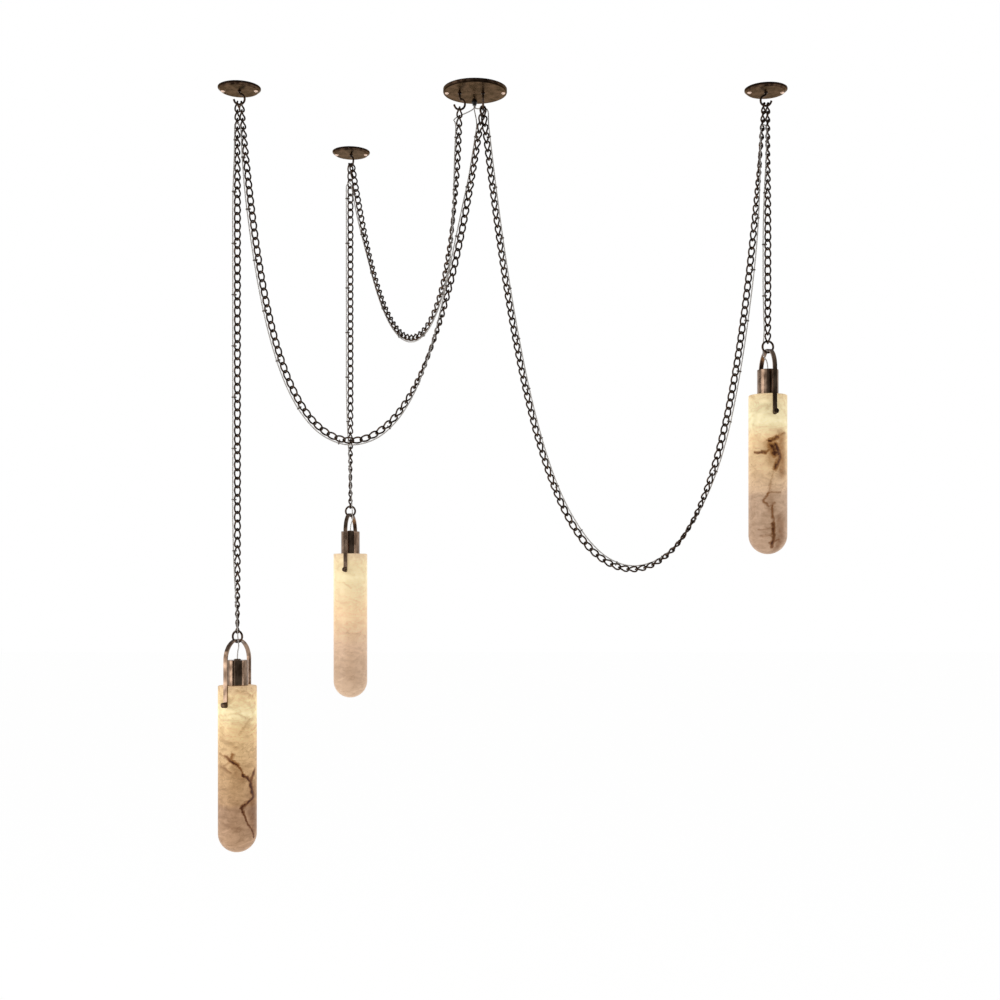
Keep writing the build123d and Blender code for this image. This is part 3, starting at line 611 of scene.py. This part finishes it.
# A vein goes from one point to another, each across and up in millimetres from the centre of the
# stone's top, as seen from the front. Its half width in millimetres and its strength follow. The
# widest, faintest lines darken broad patches, most of them on the stones' right sides.
stone_veins = {
    "left": (
        ((-30, -125), (-16, -130), 5.0, 0.4),
        ((-16, -130), (-3, -138), 8.0, 0.8),
        ((-3, -138), (6, -144), 8.0, 1.0),
        ((-6, -134), (-2, -123), 6.0, 0.6),
        ((6, -144), (17, -162), 4.0, 0.75),
        ((17, -162), (29, -177), 6.0, 1.0),
        ((29, -177), (34, -157), 6.0, 0.8),
        ((29, -177), (32, -205), 9.0, 1.0),
        ((32, -205), (16, -225), 7.0, 1.0),
        ((16, -225), (24, -253), 4.5, 0.85),
        ((24, -253), (34, -281), 4.5, 0.85),
        ((-28, -149), (-6, -159), 6.0, 0.4),
        ((-10, -140), (-20, -149), 5.0, 0.35),
        ((32, -191), (33, -266), 24.0, 0.42),
        ((0, -149), (16, -173), 16.0, 0.3),
        ((6, -9), (32, -21), 8.0, 0.3),
        ((-28, -55), (4, -47), 6.0, 0.26),
        ((4, -47), (28, -63), 6.0, 0.3),
        ((28, -63), (10, -87), 7.0, 0.28),
        ((-26, -95), (6, -113), 9.0, 0.26),
        ((-22, -191), (4, -187), 7.0, 0.2),
        ((-20, -253), (12, -263), 9.0, 0.22),
    ),
    "middle": (
        ((-12, -62), (6, -74), 4.0, 0.22),
        ((4, -96), (22, -104), 5.0, 0.2),
        ((-26, -34), (10, -46), 6.0, 0.16),
        ((-30, -168), (26, -172), 6.0, 0.16),
        ((-20, -206), (22, -214), 8.0, 0.14),
    ),
    "right": (
        ((-3, -88), (13, -81), 9.0, 0.95),
        ((11, -82), (26, -74), 5.0, 0.6),
        ((0, -100), (8, -110), 18.0, 1.0),
        ((7, -96), (15, -118), 13.0, 1.0),
        ((15, -118), (7, -136), 12.0, 0.95),
        ((-28, -108), (-11, -112), 6.0, 0.9),
        ((-11, -112), (-1, -102), 5.0, 0.8),
        ((19, -80), (21, -146), 24.0, 0.5),
        ((-7, -96), (3, -126), 22.0, 0.4),
        ((3, -134), (-3, -186), 5.0, 0.32),
        ((-5, -186), (17, -184), 4.5, 0.45),
        ((-5, -186), (-16, -198), 5.0, 0.6),
        ((-16, -198), (-7, -210), 5.0, 0.6),
        ((-7, -210), (7, -204), 5.0, 0.45),
        ((1, -208), (3, -242), 5.5, 0.65),
        ((3, -242), (3, -286), 7.0, 0.9),
        ((-3, -196), (-1, -218), 18.0, 0.3),
        ((-3, -278), (15, -272), 5.0, 0.6),
        ((-21, -252), (21, -248), 4.0, 0.35),
        ((-17, -264), (23, -260), 4.0, 0.35),
        ((19, -236), (17, -286), 24.0, 0.42),
    ),
}
stone_contrast = {"left": 1.0, "middle": 0.5, "right": 0.75}
mm_per_metre = 1000
tone_waver = 0.09
band_turn = (0.5, 0.3, 0.2)
band_stretch = (1, 1, 2.2)
cloud_share = 0.8
cloud_dark = (0.6, 0.54, 0.47)
cloud_pale = (1.22, 1.25, 1.28)
vein_sway = 0.014
vein_jitter = 0.01
vein_dip = 0.012
unstained = (1.0, 1.0, 1.0)
stain_brown = (0.42, 0.27, 0.15)
vein_brown = srgb(66, 30, 6)
dim_share = 0.2
stone_glow = 0.6


def on_surface(point, radius):
    """A point seen from the front, in millimetres, as metres round and up the stone's side."""
    across, up = [distance / mm_per_metre for distance in point]
    return Vector((radius * math.asin(across / radius), up))


def alabaster(side):
    """One stone's painted glow, clouds and veins, about the centre of its top."""
    low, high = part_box(side + "_alabaster_shade")
    radius = (high.x - low.x) / 2
    material, shader, start = new_finish(side + "_alabaster")
    place = place_of(start, top_centre_of(side + "_alabaster_shade"))
    x, y, z = parts_of(place)
    warp = noise(place, scale=26.0, detail=5.0, roughness=0.6)
    fine = noise(place, scale=110.0, roughness=0.6)
    depth = z * (-1 / (high.z - low.z))
    tone = (depth + (warp - 0.5) * tone_waver).ramp(*stone_glow_tones[side])

    # Cloudy bands slope across the stone, and thin hair veins wander through all of it.
    slope = {"Vector": place, "Rotation": band_turn, "Scale": band_stretch}
    tilted = place.node("ShaderNodeMapping", {}, slope)
    bands = noise(tilted, scale=32.0, detail=6.0, roughness=0.62, distortion=1.2)
    wander = noise(tilted, scale=15.0, detail=3.0, roughness=0.5, distortion=2.5) - 0.5
    hair = 1 - wander.maths("ABSOLUTE", wander).step(0.0, 0.025)
    shade = (bands - 0.5) * 1.1 + (fine - 0.5) * 0.4 - hair * 0.15
    light = (shade * stone_contrast[side]).step(-0.32, 0.32).tint(cloud_dark, cloud_pale)
    clouded = tone.mixed(cloud_share, tone, light, "MULTIPLY")

    # Brown veins lie along straight lines on the unrolled side, and the stone's clouds make them waver.
    turned = x.maths("ARCTAN2", x, y * -1)
    around = turned * radius + (warp - 0.5) * vein_sway + (fine - 0.5) * vein_jitter
    above = z + (noise(place, scale=34.0, detail=3.0) - 0.5) * vein_dip + (bands - 0.5) * vein_dip
    vein = None
    for first, last, half_width, strength in stone_veins[side]:
        begin = on_surface(first, radius)
        reach = on_surface(last, radius) - begin
        along = ((around - begin.x) * reach.x + (above - begin.y) * reach.y) / reach.length_squared
        share = along.node("ShaderNodeClamp", {}, {"Value": along})
        off_round = around - begin.x - share * reach.x
        off_above = above - begin.y - share * reach.y
        distance = (off_round * off_round + off_above * off_above) ** 0.5
        line = strength - strength * distance.step(0.0, half_width / mm_per_metre)
        vein = line if vein is None else vein.most(line)
    vein = vein * (fine * 1.4 + 0.3)
    stain = vein.step(0.0, 0.7).tint(unstained, stain_brown)
    stained = tone.mixed(1.0, clouded, stain, "MULTIPLY")
    stone = vein.step(0.6, 1.05).tint(stained, vein_brown)
    dimmed = tone.mixed(dim_share, stone, (0, 0, 0))
    # Painted glow: the stone's colour, brightest beside the lamp, is given out as emission, and a
    # dimmed copy is its base colour.
    feed(shader, Base_Color=dimmed, Emission_Color=stone, Emission_Strength=stone_glow)
    feed(shader, Roughness=0.34 + 0.2 * fine, Specular_IOR_Level=0.3)
    feed(shader, Normal=bump(fine, strength=0.06, distance=0.0005))
    return material


for side in sides:
    dress([side + "_alabaster_shade"], alabaster(side))

# Studio: a pale floor, a bright back and a dimmer front, a tall soft box on the left and a slim one on
# the right, so that upright metal shows light and dark bands.
floor_drop = 0.32
floor_near = -1.6
floor_reach = 15.0
floor_white_share = 0.9
floor_white_level = 1.05
floor_z = cad_box[0].z - floor_drop
floor_mesh = bpy.data.meshes.new("floor")
corners = [(x, y, floor_z) for y in (floor_near, floor_reach) for x in (-floor_reach, floor_reach)]
floor_mesh.from_pydata(corners, [], [(0, 1, 3, 2)])
floor = bpy.data.objects.new("floor", floor_mesh)
bpy.context.scene.collection.objects.link(floor)
pale, shader, start = new_finish("floor_pale")
feed(shader, Base_Color=srgb(240, 240, 238), Roughness=0.8)
seen = start.node("ShaderNodeLightPath", output="Is Camera Ray")
mirrored = start.node("ShaderNodeLightPath", output="Is Glossy Ray")
through = start.node("ShaderNodeLightPath", output="Is Transmission Ray")
shown = seen.most(mirrored.most(through)) * floor_white_share
white = start.node("ShaderNodeEmission", {}, {"Color": (1, 1, 1, 1), "Strength": floor_white_level})
matt = Value(pale.node_tree, shader.outputs["BSDF"])
mixed = start.node("ShaderNodeMixShader", {}, {0: shown, 1: matt, 2: white})
pale.node_tree.links.new(mixed.socket, pale.node_tree.nodes["Material Output"].inputs["Surface"])
floor_mesh.materials.append(pale)

front_level = 0.14
back_gain = 0.71
shine_gain = 0.86
shine_back = 0.93
shine_left = 0.36
dark_above = 0.85
world = bpy.data.worlds.new("studio")
world.use_nodes = True
bpy.context.scene.world = world
start = Value(world.node_tree)
rightward, rearward, upward = parts_of(start.node("ShaderNodeTexCoord", output="Generated"))
past_front = (shine_back * rearward - shine_left * rightward).step(-0.9, -0.5)
around = past_front * (1 - dark_above * upward.step(0.1, 0.5))
shine = front_level + shine_gain * around
fill = front_level + back_gain * rearward.step(-0.55, 0.35)
seen = start.node("ShaderNodeLightPath", output="Is Camera Ray")
mirrored = start.node("ShaderNodeLightPath", output="Is Glossy Ray")
level = (mirrored * shine + (1 - mirrored) * fill).most(seen)
background = world.node_tree.nodes["Background"]
background.inputs["Color"].default_value = (1, 1, 1, 1)
world.node_tree.links.new(level.socket, background.inputs["Strength"])


def soft_box(name, place, aim, width, height, brightness):
    lamp = bpy.data.lights.new(name, "AREA")
    lamp.shape = "RECTANGLE"
    lamp.size = width
    lamp.size_y = height
    lamp.energy = brightness * math.pi * width * height
    box = bpy.data.objects.new(name, lamp)
    box.location = place
    box.rotation_euler = (aim - place).to_track_quat("-Z", "Y").to_euler()
    bpy.context.scene.collection.objects.link(box)


middle = (cad_box[0] + cad_box[1]) / 2
left_box_place = Vector((-2.4, -1.2, -0.6))
right_box_place = Vector((2.3, -1.0, -0.6))
soft_box("left_box", left_box_place, middle, width=1.8, height=2.4, brightness=1.6)
soft_box("right_box", right_box_place, middle, width=0.5, height=2.2, brightness=1.6)
